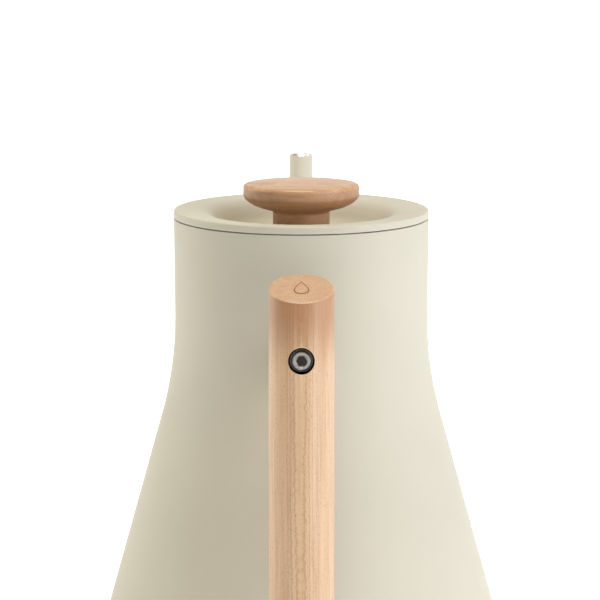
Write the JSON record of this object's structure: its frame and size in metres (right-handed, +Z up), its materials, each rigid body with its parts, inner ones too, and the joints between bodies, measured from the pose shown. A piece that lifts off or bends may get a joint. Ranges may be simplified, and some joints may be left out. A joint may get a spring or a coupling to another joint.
{
  "type": "stovetop whistling kettle",
  "caption": "Bell-shaped painted steel kettle with a slim gooseneck spout, a leaning round wooden handle on a short arm, and a dished lift-off lid with a wooden knob and a whistle.",
  "frame": {"origin": "centre of the flat underside of the base, where the kettle stands on the hob", "axes": "+Z up out of the base, +Y towards the spout, +X to the right seen from behind the handle; millimetre source stored in metres"},
  "size_m": [0.1902, 0.2985, 0.2251],
  "materials": {
    "paint": "fine matte powder coat, warm sand",
    "handle_wood": "oiled maple, straight grain",
    "knob_wood": "oiled beech, turned",
    "inner_steel": "satin stainless steel",
    "screw_steel": "plain stainless fastener",
    "base_steel": "magnetic stainless steel, spun",
    "aluminium": "plain rolled",
    "brass": "turned and stamped",
    "silicone": "food-grade silicone, warm grey"
  },
  "bodies": {
    "kettle": {"body_shell": "paint", "neck_ring": "inner_steel", "base_pan": "paint", "heat_spreader": "aluminium", "base_cap": "base_steel", "spout_tube": "paint", "spout_collar": "paint", "handle_arm": "paint", "arm_plug": "inner_steel", "arm_doubler": "inner_steel", "handle_rod": "handle_wood", "handle_screw": "screw_steel", "handle_washer": "screw_steel"},
    "lid": {"lid_cover": "paint", "lid_liner": "inner_steel", "lid_gasket": "silicone", "knob": "knob_wood", "knob_insert": "brass", "knob_washer": "silicone", "knob_spacer": "inner_steel", "knob_screw_seal": "silicone", "knob_screw": "screw_steel", "whistle_cup": "brass", "whistle_plate": "brass", "whistle_rivet_1": "screw_steel", "whistle_rivet_2": "screw_steel"}
  },
  "joints": [
    {"name": "lid_lift", "type": "slide", "parent": "kettle", "child": "lid", "axis": [0, 0, 1], "range_m": [0, 0.1]}
  ]
}
